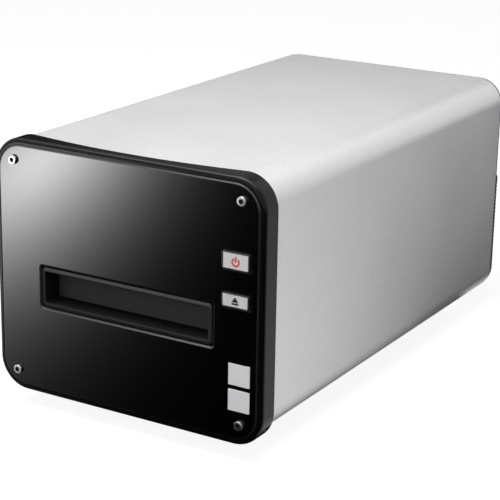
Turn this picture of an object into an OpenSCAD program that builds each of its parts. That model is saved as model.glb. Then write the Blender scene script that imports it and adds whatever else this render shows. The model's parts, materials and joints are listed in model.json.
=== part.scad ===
// Desktop film scanner for strips and slides carried in a flat holder.
// A silver sleeve between a black front bezel and a black rear panel, on four rubber feet.
// The holder goes in through the slot in front, past a hinged dust door, onto motor-driven rollers.
//
// The modules draw in face coordinates, in millimetres: x to the right seen from the front,
// y back from the front of the face plate, z up from the middle of the bezel.
// at_face() then stands the scanner on the ground plane, centred on the origin.

/* [Overall] */
// Width of the front bezel
bezel_w = 210; // [208:1:214]
// Height of the front bezel
bezel_h = 177.2; // [176:0.2:180]
// Depth from the face plate's front to the back of the rear cover
body_depth = 374; // [370:1:390]
// Gap between the bezel's lower edge and the table
ground_gap = 11.8; // [10:0.1:14]

/* [Front bezel] */
// Depth of the bezel's side, from the face plate's front to the sleeve
bezel_depth = 15.2; // [14:0.2:18]
// Corner radius of the bezel
bezel_r = 21.9; // [21:0.1:24]
// Width of the chamfer around the bezel's front edge
bezel_chamfer = 2.8; // [2:0.1:3]
// How far the top of the bezel's rear edge curves forward in the middle
bow_depth = 7.2; // [4:0.2:7.6]
// How far the bezel's rim lies behind the face plate's front
rim_back = 0.5; // [0.2:0.1:0.8]
// Thickness of the bezel's wall behind the face plate
web_t = 3; // [2.5:0.5:3]

/* [Face plate] */
// Thickness of the glossy face plate
plate_t = 3; // [3:0.5:4]
// Width of the bezel's rim around the face plate
rim_w = 3.7; // [3.4:0.1:4]
// Gap between the face plate and the rim
plate_gap = 0.3; // [0.2:0.1:0.4]
// Width of the bevel around the face plate
plate_bevel_w = 0.9; // [0.5:0.1:1.2]
// Depth of the bevel around the face plate
plate_bevel_d = 0.7; // [0.4:0.1:1]

/* [Sleeve] */
// Width of the silver sleeve
sleeve_w = 202.2; // [201:0.1:203]
// Height of the silver sleeve
sleeve_h = 173.6; // [173:0.1:174.4]
// Corner radius of the sleeve
sleeve_r = 19; // [18:0.5:19.5]
// Wall thickness of the sleeve
sleeve_t = 2; // [1.6:0.1:2]

/* [Film slot and dust door] */
// Clear width of the film slot
slot_w = 128; // [124:1:128]
// Clear height of the film slot
slot_h = 22; // [20:0.5:22]
// Height of the slot's middle below the bezel's middle
slot_drop = 10.6; // [10:0.1:11]
// Width of the slot frame's front face
slot_ring = 2.8; // [2.4:0.1:2.8]
// Width of the dark groove between the slot frame and the face plate
slot_groove = 2; // [1.5:0.1:2.2]
// How far the dust door hangs behind the face plate's front
door_y = 13.9; // [13.5:0.1:14.5]
// Thickness of the dust door
door_t = 1.6; // [1.2:0.1:1.8]

/* [Buttons and badges] */
// Width of the button caps
cap_w = 20.4; // [19:0.1:20.4]
// How far the button caps stand out of the face plate
cap_proud = 1.6; // [1:0.1:2]
// Middle of the buttons, to the right of the bezel's middle
button_x = 85; // [84:0.2:85]
// Height of the power button's middle
power_z = 35; // [34:0.5:36]
// Height of the power button's label
power_label_h = 10; // [9:0.5:10]
// Height of the eject button's middle
eject_z = 9.2; // [8.5:0.1:10]
// Height of the eject button's label
eject_label_h = 7.8; // [7:0.2:8]
// Width of the badges at the lower right
badge_w = 15.8; // [14:0.1:17]
// Height of the badges
badge_h = 14.5; // [13:0.1:15]

/* [Rear] */
// Height of the rear cover's top edge above the bezel's middle
cover_top = 9.8; // [8:0.2:11]
// Distance between the rear cover's louvres
louvre_pitch = 3; // [3:0.5:4]

/* [Film transport] */
// Clear height between the drive rollers and the pinch rollers
path_h = 17; // [15:0.5:17]
// Radius of the rubber drive rollers
roller_r = 8; // [7:0.5:8.5]
// Radius of the pinch rollers
pinch_r = 6; // [5:0.5:6]
// Distance of the front rollers behind the face plate's front
front_roller_y = 62; // [61:1:64]
// Distance of the rear rollers behind the face plate's front
rear_roller_y = 158; // [150:1:160]
// Distance of the scanned line behind the face plate's front
scan_y = 110; // [108:1:112]

/* [Hidden] */
$fn = 96;
eps = 0.01;

// Where the parts of the case begin and end
screw_proud = 2;
face_y = -(body_depth - screw_proud) / 2;
mid_z = ground_gap + bezel_h / 2;
sleeve_z = 0.6;
rear_panel_t = 2.4;
cover_t = 3.4;
cover_y = body_depth - cover_t;
panel_y = cover_y - rear_panel_t;
sleeve_in_w = sleeve_w - 2 * sleeve_t;
sleeve_in_h = sleeve_h - 2 * sleeve_t;
sleeve_in_r = sleeve_r - sleeve_t;
sleeve_floor = sleeve_z - sleeve_in_h / 2;

// The spigots of the bezel and the rear panel fit inside the sleeve
spigot_gap = 0.1;
spigot_t = 2.5;
spigot_w = sleeve_in_w - 2 * spigot_gap;
spigot_h = sleeve_in_h - 2 * spigot_gap;
spigot_r = sleeve_in_r - spigot_gap;
web_back = plate_t + web_t;

// The sleeve's top reaches forward into the curve of the bezel's rear edge
bow_half = sleeve_w / 2 - sleeve_r;
bow_r = (pow(bow_half, 2) + pow(bow_depth, 2)) / (2 * bow_depth);
bow_y = bezel_depth - bow_depth;
bow_floor = sleeve_z + spigot_h / 2;
bow_gap = 0.05;

// Screws
screw_r = 1.5;
thread_r = 1.55;
hole_r = 1.7;
head_r = 3.2;
face_screw_x = 88.5;
face_screw_z = 73.9;
rear_screw_x = 84;
rear_screw_z = 70;
corners = [[-1, -1], [1, -1], [1, 1], [-1, 1]];

// Chassis of bent steel sheet
sheet = 2;
chassis_w = 164;
chassis_floor = sleeve_floor + sheet;
front_wall_y = 24.6;
rear_wall_y = 358;
wall_w = 196.4;
wall_h = 167.8;
wall_r = 16;
nut_l = 5;
nut_r = 4;
vent_cells = [4, 2];
vent_w = 26;
vent_h = 29;
vent_rib = 5;
vent_mid = -33;

// Film slot
slot_z = -slot_drop;
slot_floor = slot_z - slot_h / 2;
slot_top = slot_z + slot_h / 2;
frame_w = slot_w + 2 * slot_ring;
frame_h = slot_h + 2 * slot_ring;
frame_r = 3;
frame_gap = 0.2;
frame_flange_t = 2.5;
throat_end = 12.5;
cheek_end = 46;
cheek_top = 12;
groove_bevel = 1.3;

// Dust door, turning on its pin
pin_r = 1.5;
running_gap = 0.05;
door_gap = 0.6;
barrel_r = 2.6;
door_axis_y = door_y + 1.8;
door_axis_z = slot_top + 4.8;
spring_room = 14;

// Badges on the face plate, from the top one down
badge_x = 79.95;
badge_top = -32.8;
badge_step = 17.4;
badge_t = 0.3;

// Button caps and the board behind them
cap_r = 1.6;
cap_gap = 0.4;
cap_bevel = 0.5;
cap_margin_x = 1.2;
cap_margin_z = 0.9;
cap_h_power = power_label_h + 2 * cap_margin_z;
cap_h_eject = eject_label_h + 2 * cap_margin_z;
label_w = cap_w - 2 * cap_margin_x;
label_t = 0.3;
stem_r = 1.5;
switch_y = 12;
board_y = 16;
board_t = 1.6;
board_peg_z = [-1.5, 47];
peg_r = 1.2;

// Film transport between the side plates
plate_x = 72;
side_front = 50;
side_rear = 352;
side_top = 34;
table_t = 2.8;
rail_h = 6.6;
film_half_w = 62.5;
drive_lift = 0.4;
shaft_r = 3;
stub_r = 2.5;
stub_l = 5;
collar_r = 6;
collar_l = 3;
drive_z = slot_floor + drive_lift - roller_r;
pinch_z = slot_floor + drive_lift + path_h + pinch_r;
rubber_in = 18;
rubber_out = 46;
motor_y = 312;
motor_z = -50;
motor_shaft_r = 2.5;
motor_pilot_r = 11;
motor_bore_l = 24;
motor_pulley_r = 8;
rear_pulley_r = 16;
link_pulley_r = 10;
belt_w = 6;
belt_t = 1.2;
belt_gap = 0.3;
motor_belt_x = 78.5;
link_belt_x = 88;
pulley_flange = 1;
pulley_rim = 2;
belt_side = 0.3;

// Lamp unit over the film table
lamp_low = 6;
lamp_half_w = 60;
lamp_half_l = 10;
lamp_room = 20;
diffuser_t = 2;

// Optics under the film table
optic_z = -56;
slope_y = 128;
lens_r = 17;
lens_y = 180;
lens_l = 42;
lens_seat = 6;
bench_z = chassis_floor + 4;
sensor_y = 262;
sensor_top = -36;

// Main board on the left side plate
board_x = 82.4;
board_y0 = 190;
board_y1 = 340;
board_low = -66;
board_high = 20;
standoff_y = [198, 332];
standoff_z = [-28, 12];

// Sockets on the rear panel
socket_z = 40;
switch_x = -55;
jack_x = -12;
usb_x = 24;
lock_x = 62;
jack_w = 11;
usb_w = 12.4;
usb_h = 11.4;
switch_w = 21.4;
switch_h = 13;
lock_w = 7;
lock_h = 3;
rocker_y = 368.5;
rocker_tilt = 10;
sockets = [
    [switch_x, switch_w, switch_h], [jack_x, jack_w, jack_w],
    [usb_x, usb_w, usb_h], [lock_x, lock_w, lock_h]
];
cover_seat = 1.4;

// Rubber feet
foot_x = 52;
foot_front_y = 48;
foot_rear_y = 334;
foot_r = 11;
foot_seat = 8.4;
foot_places = [
    [-foot_x, foot_front_y], [foot_x, foot_front_y],
    [foot_x, foot_rear_y], [-foot_x, foot_rear_y]
];
ground = -bezel_h / 2 - ground_gap;
sleeve_bottom = sleeve_z - sleeve_h / 2;

// ---------------------------------------------------------------- shapes

// Moves face coordinates to the scanner's own frame
module at_face() translate([0, face_y, mid_z]) children();

// A front-view outline, extruded from depth y0 back to y1
module prism(y0, y1) translate([0, y1, 0]) rotate([90, 0, 0]) linear_extrude(y1 - y0) children();

// Box between two opposite corners
module block(low, high) translate(low) cube(high - low);

// Rounded rectangle around the origin
module rounded(w, h, r) {
    square([w, h - 2 * r], center = true);
    square([w - 2 * r, h], center = true);
    for (c = corners)
        translate([c[0] * (w / 2 - r), c[1] * (h / 2 - r)]) circle(r);
}

// Rods along x and along y
module rod_x(r, x0, x1) translate([x0, 0, 0]) rotate([0, 90, 0]) cylinder(r = r, h = x1 - x0);
module rod_y(r, y0, y1) translate([0, y0, 0]) rotate([-90, 0, 0]) cylinder(r = r, h = y1 - y0);

// Rounded frustum: w x h at y = 0, narrower by c on every side at y = -d
module frustum(w, h, r, c, d) rotate([90, 0, 0]) {
    rotate([90, 0, 0]) linear_extrude(h - 2 * r, center = true)
        polygon([[-w / 2, 0], [w / 2, 0], [w / 2 - c, d], [-w / 2 + c, d]]);
    rotate([90, 0, 90]) linear_extrude(w - 2 * r, center = true)
        polygon([[-h / 2, 0], [h / 2, 0], [h / 2 - c, d], [-h / 2 + c, d]]);
    for (k = corners)
        translate([k[0] * (w / 2 - r), k[1] * (h / 2 - r), 0]) cylinder(r1 = r, r2 = r - c, h = d);
}

// Rounded slab from y0 to y1, with a bevel c wide and d deep around its front
module slab(w, h, r, y0, y1, c, d) {
    prism(y0 + d, y1) rounded(w, h, r);
    translate([0, y0 + d, 0]) frustum(w, h, r, c, d);
}

// Cut-out w x h through y0 to y1, with its front edge bevelled by c
module mouth(w, h, r, y0, y1, c) {
    prism(y0 - eps, y1 + eps) rounded(w, h, r);
    translate([0, y0 - eps, 0]) mirror([0, 1, 0]) frustum(w + 2 * c, h + 2 * c, r + c, c, c);
}

// Places children at the four corners of a rectangle around (0, z)
module at_corners(x, z, lift = 0)
    for (c = corners) translate([c[0] * x, 0, lift + c[1] * z]) children();

// Grid of vent openings from y0 to y1, with its middle at height z
module vents(y0, y1, z) {
    pitch_x = vent_w + vent_rib;
    pitch_z = vent_h + vent_rib;
    for (i = [0 : vent_cells[0] - 1], j = [0 : vent_cells[1] - 1])
        translate([(i - (vent_cells[0] - 1) / 2) * pitch_x, 0, z + (j - (vent_cells[1] - 1) / 2) * pitch_z])
            block([-vent_w / 2, y0, -vent_h / 2], [vent_w / 2, y1, vent_h / 2]);
}

// Openings for the rear sockets from y0 to y1, each with room around it
module socket_holes(y0, y1, room)
    for (s = sockets) translate([s[0], 0, socket_z])
        block([-s[1] / 2 - room, y0, -s[2] / 2 - room], [s[1] / 2 + room, y1, s[2] / 2 + room]);

// ---------------------------------------------------------------- case

module sleeve_ring(y0, y1) prism(y0, y1) translate([0, sleeve_z]) difference() {
    rounded(sleeve_w, sleeve_h, sleeve_r);
    rounded(sleeve_in_w, sleeve_in_h, sleeve_in_r);
}

// Upright disc of radius r behind the curve in the bezel's rear edge
module bow_disc(r)
    translate([0, bow_y + bow_r, bow_floor]) cylinder(r = r, h = bezel_h / 2, $fn = 720);

module housing_sleeve() color("silver") at_face() difference() {
    union() {
        sleeve_ring(bezel_depth, panel_y);
        intersection() {
            sleeve_ring(bow_y, bezel_depth + eps);
            bow_disc(bow_r);
        }
    }
    for (p = foot_places) translate([p[0], p[1], sleeve_bottom - 1])
        cylinder(r = hole_r, h = sleeve_t + 2);
}

module spigot_ring(y0, y1) prism(y0, y1) translate([0, sleeve_z]) difference() {
    rounded(spigot_w, spigot_h, spigot_r);
    rounded(spigot_w - 2 * spigot_t, spigot_h - 2 * spigot_t, spigot_r - spigot_t);
}

module cap_hole(h, grow) rounded(cap_w + 2 * grow, h + 2 * grow, cap_r + grow);

module front_bezel() color([0.06, 0.06, 0.06]) at_face() {
    boss_r = 6.5;
    board_boss_r = 3;
    pocket_w = bezel_w - 2 * rim_w;
    pocket_h = bezel_h - 2 * rim_w;
    difference() {
        union() {
            difference() {
                slab(bezel_w, bezel_h, bezel_r, rim_back, bezel_depth, bezel_chamfer, bezel_chamfer);
                prism(web_back, bezel_depth + eps) translate([0, sleeve_z])
                    rounded(spigot_w - 2 * spigot_t, spigot_h - 2 * spigot_t, spigot_r - spigot_t);
            }
            spigot_ring(bezel_depth - eps, front_wall_y);
            at_corners(face_screw_x, face_screw_z) rod_y(boss_r, web_back - eps, front_wall_y);
            for (z = board_peg_z) translate([button_x, 0, z]) {
                rod_y(board_boss_r, web_back - eps, board_y);
                rod_y(peg_r, board_y - eps, board_y + board_t + 1);
            }
        }
        bow_disc(bow_r + bow_gap);
        prism(rim_back - 1, plate_t) rounded(pocket_w, pocket_h, bezel_r - rim_w);
        at_corners(face_screw_x, face_screw_z) rod_y(hole_r, 0, front_wall_y + 1);
        prism(0, web_back + eps) translate([0, slot_z])
            rounded(frame_w + 2 * frame_gap, frame_h + 2 * frame_gap, frame_r + frame_gap);
        prism(0, web_back + eps) translate([button_x, power_z]) cap_hole(cap_h_power, cap_gap);
        prism(0, web_back + eps) translate([button_x, eject_z]) cap_hole(cap_h_eject, cap_gap);
    }
}

module face_plate() color([0.02, 0.02, 0.02]) at_face() {
    w = bezel_w - 2 * (rim_w + plate_gap);
    h = bezel_h - 2 * (rim_w + plate_gap);
    hole_bevel = 0.6;
    difference() {
        slab(w, h, bezel_r - rim_w - plate_gap, 0, plate_t, plate_bevel_w, plate_bevel_d);
        translate([0, 0, slot_z])
            mouth(frame_w + 2 * slot_groove, frame_h + 2 * slot_groove, frame_r + slot_groove,
                  0, plate_t, groove_bevel);
        translate([button_x, 0, power_z])
            mouth(cap_w + 2 * cap_gap, cap_h_power + 2 * cap_gap, cap_r + cap_gap, 0, plate_t, hole_bevel);
        translate([button_x, 0, eject_z])
            mouth(cap_w + 2 * cap_gap, cap_h_eject + 2 * cap_gap, cap_r + cap_gap, 0, plate_t, hole_bevel);
        at_corners(face_screw_x, face_screw_z) rod_y(hole_r, -1, plate_t + 1);
    }
}

// Socket-head screw through the face plate and the bezel into the chassis
module face_screw(i) color("gainsboro") at_face() {
    c = corners[i - 1];
    edge = 0.6;
    socket_r = 1.9;
    socket_d = 1.3;
    translate([c[0] * face_screw_x, 0, c[1] * face_screw_z]) difference() {
        union() {
            rod_y(head_r, -screw_proud + edge, 0);
            translate([0, -screw_proud, 0]) rotate([-90, 0, 0])
                cylinder(r1 = head_r - edge, r2 = head_r, h = edge);
            rod_y(screw_r, -eps, front_wall_y + sheet + nut_l);
        }
        translate([0, -screw_proud - eps, 0]) rotate([-90, 0, 0])
            cylinder(r = socket_r, h = socket_d, $fn = 6);
    }
}

// The slot's frame, its throat and the cheeks that carry the dust door
module slot_frame() color([0.14, 0.14, 0.14]) at_face() {
    flange_w = 142;
    flange_low = -30.6;
    flange_high = 9.4;
    cheek_low = slot_floor - slot_ring;
    inner_r = 1.2;
    edge = 0.4;
    difference() {
        union() {
            difference() {
                translate([0, 0, slot_z])
                    slab(frame_w, frame_h, frame_r, 0, throat_end, edge, edge);
                prism(-1, throat_end + 1) translate([0, slot_z]) rounded(slot_w, slot_h, inner_r);
            }
            difference() {
                block([-flange_w / 2, web_back, flange_low],
                      [flange_w / 2, web_back + frame_flange_t, flange_high]);
                prism(web_back - 1, throat_end) translate([0, slot_z])
                    square([frame_w - 1, frame_h - 1], center = true);
            }
            for (side = [-1, 1]) {
                inner = side * slot_w / 2;
                outer = side * frame_w / 2;
                block([min(inner, outer), throat_end - eps, cheek_low],
                      [max(inner, outer), cheek_end, cheek_top]);
            }
            block([-slot_w / 2 - eps, throat_end - eps, cheek_low],
                  [slot_w / 2 + eps, cheek_end, slot_floor]);
        }
        translate([0, door_axis_y, door_axis_z]) rod_x(pin_r, -frame_w, frame_w);
    }
}

// Sticker-like plates on the face plate, left bare
module badge(top) color("whitesmoke") at_face()
    block([badge_x, -badge_t, top - badge_h], [badge_x + badge_w, 0, top]);
module badge_upper() badge(badge_top);
module badge_lower() badge(badge_top - badge_step);

// ---------------------------------------------------------------- buttons and dust door

// Button cap with a lip behind the bezel's wall and a stem in the switch's bore
module button_cap(z, h) color([0.05, 0.05, 0.05]) at_face() translate([button_x, 0, z]) {
    lip = 1;
    lip_t = 1.6;
    lip_gap = 0.2;
    lip_y = web_back + lip_gap;
    stem_end = 12.8;
    difference() {
        union() {
            slab(cap_w, h, cap_r, -cap_proud, lip_y + eps, cap_bevel, cap_bevel);
            prism(lip_y, lip_y + lip_t) cap_hole(h, lip);
            rod_y(stem_r, lip_y + lip_t - eps, stem_end);
        }
        block([-label_w / 2, -cap_proud - 1, -h / 2 + cap_margin_z],
              [label_w / 2, -cap_proud + label_t, h / 2 - cap_margin_z]);
    }
}
module cap_label(z, h) color("lightgray") at_face() translate([button_x, 0, z])
    block([-label_w / 2, -cap_proud, -h / 2], [label_w / 2, -cap_proud + label_t, h / 2]);

module power_button() button_cap(power_z, cap_h_power);
module power_label() cap_label(power_z, power_label_h);
module eject_button() button_cap(eject_z, cap_h_eject);
module eject_label() cap_label(eject_z, eject_label_h);

// Circuit board behind the buttons, with a push switch for each
module button_board() color("darkgreen") at_face() {
    half_w = 11;
    low = -5;
    high = 50.5;
    switch_half = 3;
    bore_end = 15.2;
    connector = [8, 4, 6];
    difference() {
        union() {
            block([button_x - half_w, board_y, low], [button_x + half_w, board_y + board_t, high]);
            for (z = [power_z, eject_z])
                block([button_x - switch_half, switch_y, z - switch_half],
                      [button_x + switch_half, board_y + eps, z + switch_half]);
            translate([button_x - connector[0] / 2, board_y + board_t - eps, (power_z + eject_z) / 2])
                cube(connector);
        }
        for (z = board_peg_z) translate([button_x, 0, z]) rod_y(peg_r, board_y - 1, board_y + board_t + 1);
        for (z = [power_z, eject_z]) translate([button_x, 0, z])
            rod_y(stem_r + 2 * running_gap, switch_y - 1, bore_end);
    }
}

// Flap behind the slot, hung from its pin by two knuckles
module dust_door() color([0.22, 0.22, 0.22]) at_face() {
    half_w = slot_w / 2 - door_gap;
    bottom_gap = 1.2;
    bottom = slot_floor + bottom_gap;
    spring_gap = 0.4;
    panel_top = door_axis_z - barrel_r - spring_gap;
    rib_t = 1.5;
    rib_h = 1.6;
    rib_inset = 4;
    knuckle_inset = 1.4;
    knuckle_end = half_w - knuckle_inset;
    difference() {
        union() {
            block([-half_w, door_y, bottom], [half_w, door_y + door_t, panel_top]);
            block([-half_w + rib_inset, door_y + door_t - eps, bottom],
                  [half_w - rib_inset, door_y + door_t + rib_t, bottom + rib_h]);
            for (side = [-1, 1]) {
                x0 = min(side * spring_room, side * knuckle_end);
                x1 = max(side * spring_room, side * knuckle_end);
                block([x0, door_y, bottom + rib_h], [x1, door_y + door_t, door_axis_z]);
                translate([0, door_axis_y, door_axis_z]) rod_x(barrel_r, x0, x1);
            }
        }
        translate([0, door_axis_y, door_axis_z]) rod_x(pin_r + running_gap, -slot_w, slot_w);
    }
}

module door_pin() color("silver") at_face()
    translate([0, door_axis_y, door_axis_z]) rod_x(pin_r, -frame_w / 2, frame_w / 2);

// Closed winding of the torsion spring that shuts the dust door
module door_spring() color("dimgray") at_face() {
    half_l = 12;
    wire = 0.9;
    pin_gap = 0.2;
    inner = pin_r + pin_gap;
    translate([0, door_axis_y, door_axis_z]) difference() {
        rod_x(inner + wire, -half_l, half_l);
        rod_x(inner, -half_l - 1, half_l + 1);
    }
}

// ---------------------------------------------------------------- chassis and film transport

// Tray with an upright wall at each end; the case screws go into the walls' nuts
module chassis() color("lightsteelblue") at_face() {
    slot_room = 1;
    socket_room = 3;
    screw_l = 4;
    difference() {
        union() {
            block([-chassis_w / 2, front_wall_y, sleeve_floor],
                  [chassis_w / 2, rear_wall_y + sheet, chassis_floor]);
            prism(front_wall_y, front_wall_y + sheet) translate([0, sleeve_z])
                rounded(wall_w, wall_h, wall_r);
            prism(rear_wall_y, rear_wall_y + sheet) translate([0, sleeve_z])
                rounded(wall_w, wall_h, wall_r);
            at_corners(face_screw_x, face_screw_z)
                rod_y(nut_r, front_wall_y + sheet - eps, front_wall_y + sheet + nut_l);
            at_corners(rear_screw_x, rear_screw_z, sleeve_z)
                rod_y(nut_r, rear_wall_y - nut_l, rear_wall_y + eps);
        }
        block([-frame_w / 2 - slot_room, front_wall_y - 1, slot_floor - slot_ring - slot_room],
              [frame_w / 2 + slot_room, front_wall_y + sheet + 1, cheek_top + slot_room]);
        at_corners(face_screw_x, face_screw_z)
            rod_y(thread_r, front_wall_y - 1, front_wall_y + sheet + nut_l + 1);
        socket_holes(rear_wall_y - 1, rear_wall_y + sheet + 1, socket_room);
        vents(rear_wall_y - 1, rear_wall_y + sheet + 1, vent_mid);
        at_corners(rear_screw_x, rear_screw_z, sleeve_z)
            rod_y(thread_r, rear_wall_y - nut_l - 1, rear_wall_y + sheet + 1);
        for (p = foot_places) translate([p[0], p[1], sleeve_floor - 1]) cylinder(r = thread_r, h = screw_l);
    }
}

// Upright plate that carries the roller shafts; drawn for the right side
module side_plate() {
    base_w = 10;
    window = [[196, -70], [230, -36]];
    difference() {
        union() {
            block([plate_x, side_front, chassis_floor], [plate_x + sheet, side_rear, side_top]);
            block([plate_x, side_front, chassis_floor],
                  [plate_x + base_w, side_rear, chassis_floor + sheet]);
            for (y = [front_roller_y, rear_roller_y], z = [drive_z, pinch_z])
                translate([0, y, z]) rod_x(collar_r, plate_x + sheet - eps, plate_x + sheet + collar_l);
        }
        for (y = [front_roller_y, rear_roller_y]) {
            translate([0, y, drive_z]) rod_x(shaft_r + running_gap, plate_x - 1, plate_x + base_w);
            translate([0, y, pinch_z]) rod_x(stub_r + running_gap, plate_x - 1, plate_x + base_w);
        }
        block([plate_x - 1, window[0][0], window[0][1]], [plate_x + sheet + 1, window[1][0], window[1][1]]);
    }
}

module side_plate_right() color("lightsteelblue") at_face() difference() {
    side_plate();
    translate([0, motor_y, motor_z]) rod_x(motor_pilot_r, plate_x - 1, plate_x + sheet + 1);
}

module side_plate_left() color("lightsteelblue") at_face() {
    standoff_r = 3;
    mirror([1, 0, 0]) {
        side_plate();
        for (y = standoff_y, z = standoff_z)
            translate([0, y, z]) rod_x(standoff_r, plate_x + sheet - eps, board_x);
    }
}

// Flat bed under the film holder, with guide rails, roller slots and the scan window
module film_table() color([0.1, 0.1, 0.1]) at_face() {
    front = cheek_end + 1;
    rear = 350;
    roller_room = 1.4;
    roller_side = 2;
    window_half_w = 58;
    window_half_l = 8;
    difference() {
        union() {
            block([-plate_x, side_front, slot_floor - table_t], [plate_x, rear, slot_floor]);
            block([-slot_w / 2, front, slot_floor - table_t], [slot_w / 2, side_front + eps, slot_floor]);
            for (side = [-1, 1]) {
                inner = side * film_half_w;
                outer = side * plate_x;
                block([min(inner, outer), side_front, slot_floor - eps],
                      [max(inner, outer), rear, slot_floor + rail_h]);
            }
        }
        for (y = [front_roller_y, rear_roller_y])
            block([-rubber_out - roller_side, y - roller_r - roller_room, slot_floor - table_t - 1],
                  [rubber_out + roller_side, y + roller_r + roller_room, slot_floor + 1]);
        block([-window_half_w, scan_y - window_half_l, slot_floor - table_t - 1],
              [window_half_w, scan_y + window_half_l, slot_floor + 1]);
    }
}

// Shaft from the left side plate to the end of the link belt's pulley
module drive_shaft(y) color("silver") at_face()
    translate([0, y, drive_z]) rod_x(shaft_r, -plate_x - stub_l, link_belt_x + belt_w + pulley_flange);

// Rubber roller on a drive shaft, thick at both ends
module drive_roller(y) color([0.15, 0.15, 0.15]) at_face() translate([0, y, drive_z]) {
    waist_r = 4.5;
    difference() {
        union() {
            rod_x(roller_r, -rubber_out, -rubber_in);
            rod_x(roller_r, rubber_in, rubber_out);
            rod_x(waist_r, -rubber_out, rubber_out);
        }
        rod_x(shaft_r, -rubber_out - 1, rubber_out + 1);
    }
}

module pinch_roller(y) color("gray") at_face() translate([0, y, pinch_z]) {
    waist_r = 4;
    waist_end = rubber_out + 8;
    rod_x(pinch_r, -rubber_out, -rubber_in);
    rod_x(pinch_r, rubber_in, rubber_out);
    rod_x(waist_r, -waist_end, waist_end);
    rod_x(stub_r, -plate_x - stub_l, plate_x + stub_l);
}

// Flanged pulley around a belt whose near edge is at x
module pulley(r, x) {
    near = x - belt_side;
    far = x + belt_w + belt_side;
    rod_x(r, near - pulley_flange, far + pulley_flange);
    rod_x(r + pulley_rim, near - pulley_flange, near);
    rod_x(r + pulley_rim, far, far + pulley_flange);
}

module front_drive_shaft() drive_shaft(front_roller_y);
module rear_drive_shaft() drive_shaft(rear_roller_y);
module front_drive_roller() drive_roller(front_roller_y);
module rear_drive_roller() drive_roller(rear_roller_y);
module front_pinch_roller() pinch_roller(front_roller_y);
module rear_pinch_roller() pinch_roller(rear_roller_y);

module front_pulley() color("whitesmoke") at_face() translate([0, front_roller_y, drive_z])
    difference() {
        pulley(link_pulley_r, link_belt_x);
        rod_x(shaft_r, plate_x, link_belt_x + 2 * belt_w);
    }

module rear_pulley() color("whitesmoke") at_face() translate([0, rear_roller_y, drive_z])
    difference() {
        union() {
            pulley(rear_pulley_r, motor_belt_x);
            rod_x(link_pulley_r, motor_belt_x, link_belt_x);
            pulley(link_pulley_r, link_belt_x);
        }
        rod_x(shaft_r, plate_x, link_belt_x + 2 * belt_w);
    }

// Stepper motor on the inner face of the right side plate
module drive_motor() color("dimgray") at_face() {
    half = 21;
    cut = 4;
    length = 34;
    translate([0, motor_y, motor_z]) difference() {
        union() {
            translate([plate_x - length, 0, 0]) rotate([90, 0, 90]) linear_extrude(length)
                polygon([
                    [-half, -half + cut], [-half + cut, -half], [half - cut, -half], [half, -half + cut],
                    [half, half - cut], [half - cut, half], [-half + cut, half], [-half, half - cut]
                ]);
            rod_x(motor_pilot_r, plate_x - eps, plate_x + sheet);
        }
        rod_x(motor_shaft_r + running_gap, plate_x - motor_bore_l, plate_x + sheet + 1);
    }
}

// The motor's shaft with its belt pulley
module motor_pulley() color("silver") at_face() translate([0, motor_y, motor_z]) {
    inner_gap = 4;
    tip = 3;
    rod_x(motor_shaft_r, plate_x - motor_bore_l + inner_gap, motor_belt_x + belt_w + tip);
    pulley(motor_pulley_r, motor_belt_x);
}

// Points of a belt's outline around pulleys of radius ra at the origin and rb at distance d,
// on a line turned by angle a; grow is added to both radii
belt_steps = 24;
function belt_arc(r, centre, from, to) = [
    for (i = [0:belt_steps]) let (t = from + (to - from) * i / belt_steps) centre + r * [cos(t), sin(t)]
];
function belt_line(ra, rb, d, a, grow) = let (
        lean = acos((ra - rb) / d),
        far = d * [cos(a), sin(a)]
    ) concat(
        belt_arc(rb + grow, far, a - lean, a + lean),
        belt_arc(ra + grow, [0, 0], a + lean, a + 360 - lean)
    );

module belt(y0, z0, y1, z1, ra, rb, x0) {
    d = norm([y1 - y0, z1 - z0]);
    a = atan2(z1 - z0, y1 - y0);
    translate([x0, y0, z0]) rotate([90, 0, 90]) linear_extrude(belt_w) difference() {
        polygon(belt_line(ra, rb, d, a, belt_gap + belt_t));
        polygon(belt_line(ra, rb, d, a, belt_gap));
    }
}
module motor_belt() color([0.1, 0.1, 0.1]) at_face()
    belt(rear_roller_y, drive_z, motor_y, motor_z, rear_pulley_r, motor_pulley_r, motor_belt_x);
module link_belt() color([0.1, 0.1, 0.1]) at_face()
    belt(front_roller_y, drive_z, rear_roller_y, drive_z, link_pulley_r, link_pulley_r, link_belt_x);

// ---------------------------------------------------------------- light, optics and electronics

// Lamp bridge across the side plates, hollow below and finned on top
module light_unit() color("darkgray") at_face() {
    half_l = 20;
    fin_h = 8;
    fin_t = 2;
    fin_half_w = plate_x - 6;
    difference() {
        union() {
            block([-plate_x, scan_y - half_l, lamp_low], [plate_x, scan_y + half_l, side_top]);
            for (y = [scan_y - half_l : 2 * fin_t : scan_y + half_l - fin_t])
                block([-fin_half_w, y, side_top - eps], [fin_half_w, y + fin_t, side_top + fin_h]);
        }
        block([-lamp_half_w, scan_y - lamp_half_l, lamp_low - 1],
              [lamp_half_w, scan_y + lamp_half_l, lamp_low + lamp_room]);
    }
}

// Strip of lamps on the pocket's ceiling
module led_board() color("ivory") at_face() {
    half_w = 58;
    half_l = 6;
    top = lamp_low + lamp_room;
    lamp_w = 3;
    lamp_t = 2.2;
    lamp_pitch = 8;
    first = half_w - 6;
    block([-half_w, scan_y - half_l, top - board_t], [half_w, scan_y + half_l, top]);
    for (x = [-first : lamp_pitch : first])
        translate([x, scan_y, top - board_t - lamp_t / 2])
            cube([lamp_w, lamp_w, lamp_t + eps], center = true);
}

module light_diffuser() color("white") at_face()
    block([-lamp_half_w, scan_y - lamp_half_l, lamp_low],
          [lamp_half_w, scan_y + lamp_half_l, lamp_low + diffuser_t]);

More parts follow.
